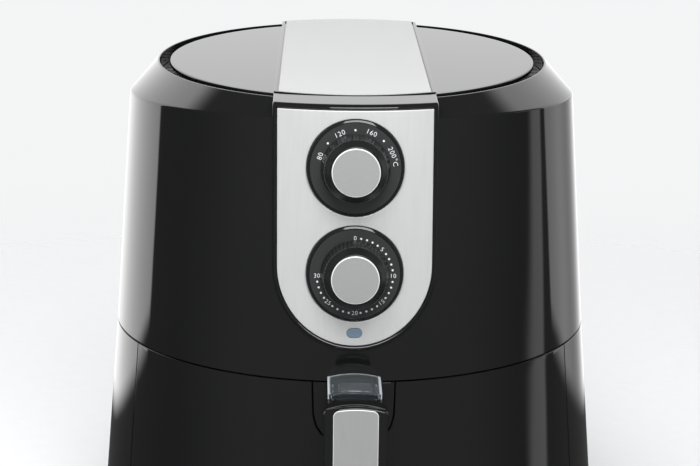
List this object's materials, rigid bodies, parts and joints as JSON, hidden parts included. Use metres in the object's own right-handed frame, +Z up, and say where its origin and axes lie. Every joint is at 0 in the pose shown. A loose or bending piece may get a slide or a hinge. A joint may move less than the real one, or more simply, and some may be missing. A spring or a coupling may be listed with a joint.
{
  "type": "hot-air fryer",
  "caption": "Round drawer-type hot-air fryer with temperature and timer knobs, a fan and element over a basket, and a pull-out pan with a handle, button guard and latch.",
  "frame": {"origin": "on the table, under the middle of the whole object's length and width", "axes": "+Z up, front with the handle and dials towards -Y, +X to the right as seen from the front"},
  "size_m": [0.3172, 0.3726, 0.3217],
  "materials": {
    "black_gloss": "polished black ABS",
    "smoke_disc": "glossy smoke-grey lid",
    "black_satin": "fine satin black",
    "knob_black": "gloss black, ribbed",
    "top_metal": "brushed along the spine, clear lacquer",
    "panel_metal": "brushed steel",
    "cap_metal": "brushed steel",
    "clear": "clear moulded plastic",
    "lens": "blue-grey translucent lens",
    "button_grey": "dark grey satin",
    "galvanised": "galvanised sheet",
    "bright_steel": "plated steel",
    "coated_pan": "dark non-stick coating",
    "inner_plastic": "black heat-proof plastic",
    "foot_rubber": "grey-black rubber",
    "element_tube": "oxidised tube",
    "fan_metal": "pressed aluminium",
    "wool": "mineral wool",
    "laminations": "stacked steel laminations",
    "coil_wrap": "taped copper coil",
    "ceramic": "cream phenolic",
    "copper": "copper capillary",
    "bell_brass": "brass bell"
  },
  "bodies": {
    "housing": {"upper_shell": "black_gloss", "lower_shell": "black_gloss", "base_plate": "galvanised", "feet": "foot_rubber", "base_screws": "bright_steel", "case_screws": "bright_steel", "top_cover": "smoke_disc", "air_inlet_grille": "black_satin", "spine_bezel": "black_gloss", "rear_cover": "black_gloss", "exhaust_grille": "black_gloss", "exhaust_duct": "galvanised", "top_plate": "top_metal", "control_plate": "panel_metal", "temperature_dial": "black_satin", "timer_dial": "black_satin", "indicator_lens": "lens", "indicator_lamp": "ceramic", "control_bracket": "galvanised", "thermostat": "ceramic", "thermostat_bulb": "copper", "timer": "ceramic", "timer_bell": "bell_brass", "drawer_housing": "galvanised", "drawer_runners": "galvanised", "heating_chamber": "bright_steel", "heating_element": "element_tube", "element_guard": "bright_steel", "insulation": "wool", "motor_plate": "galvanised", "motor_stand": "galvanised", "motor_stator": "laminations", "motor_coil": "coil_wrap", "motor_end_frames": "galvanised", "terminal_block": "ceramic", "cord_gland": "inner_plastic", "drawer_switch": "inner_plastic"},
    "temperature_knob": {"temperature_knob": "knob_black", "temperature_cap": "cap_metal", "thermostat_shaft": "bright_steel"},
    "timer_knob": {"timer_knob": "knob_black", "timer_cap": "cap_metal", "timer_shaft": "bright_steel"},
    "fan_rotor": {"hot_air_fan": "fan_metal", "cooling_fan": "inner_plastic", "motor_shaft": "bright_steel", "motor_rotor": "laminations"},
    "drawer": {"drawer_front": "black_gloss", "drawer_inner_panel": "inner_plastic", "pan": "coated_pan", "pan_brackets": "bright_steel", "basket": "coated_pan", "basket_strap": "bright_steel", "handle_body": "black_gloss", "handle_cover": "black_gloss", "handle_plate": "cap_metal", "button_spring": "bright_steel"},
    "guard": {"button_guard": "clear"},
    "button": {"release_button": "button_grey"},
    "latch": {"latch": "bright_steel"}
  },
  "joints": [
    {"name": "temperature_turn", "type": "hinge", "parent": "housing", "child": "temperature_knob", "pos_m": [0, -0.11205, 0.2737], "axis": [0, 0.9975, -0.0703], "range_deg": [0, 140]},
    {"name": "timer_turn", "type": "hinge", "parent": "housing", "child": "timer_knob", "pos_m": [0, -0.1163, 0.21335], "axis": [0, 0.9975, -0.0703], "range_deg": [0, 270]},
    {"name": "fan_spin", "type": "hinge", "parent": "housing", "child": "fan_rotor", "pos_m": [0, 0.02723, 0.2], "axis": [0, 0, 1], "continuous": true},
    {"name": "drawer_slide", "type": "slide", "parent": "housing", "child": "drawer", "axis": [0, -1, 0], "range_m": [0, 0.24]},
    {"name": "guard_slide", "type": "slide", "parent": "drawer", "child": "guard", "axis": [0, -1, 0], "range_m": [0, 0.014]},
    {"name": "button_press", "type": "slide", "parent": "drawer", "child": "button", "axis": [0, 0, -1], "range_m": [0, 0.003], "stiffness_N_per_m": 500, "springref_m": -0.002, "deforming": ["button_spring"]},
    {"name": "latch_rock", "type": "hinge", "parent": "drawer", "child": "latch", "pos_m": [0, -0.11377, 0.1395], "axis": [1, 0, 0], "range_deg": [0, 8]}
  ],
  "couplings": [
    {"joint": "latch_rock", "follows": "button_press", "rad_per_m": 46.5}
  ]
}
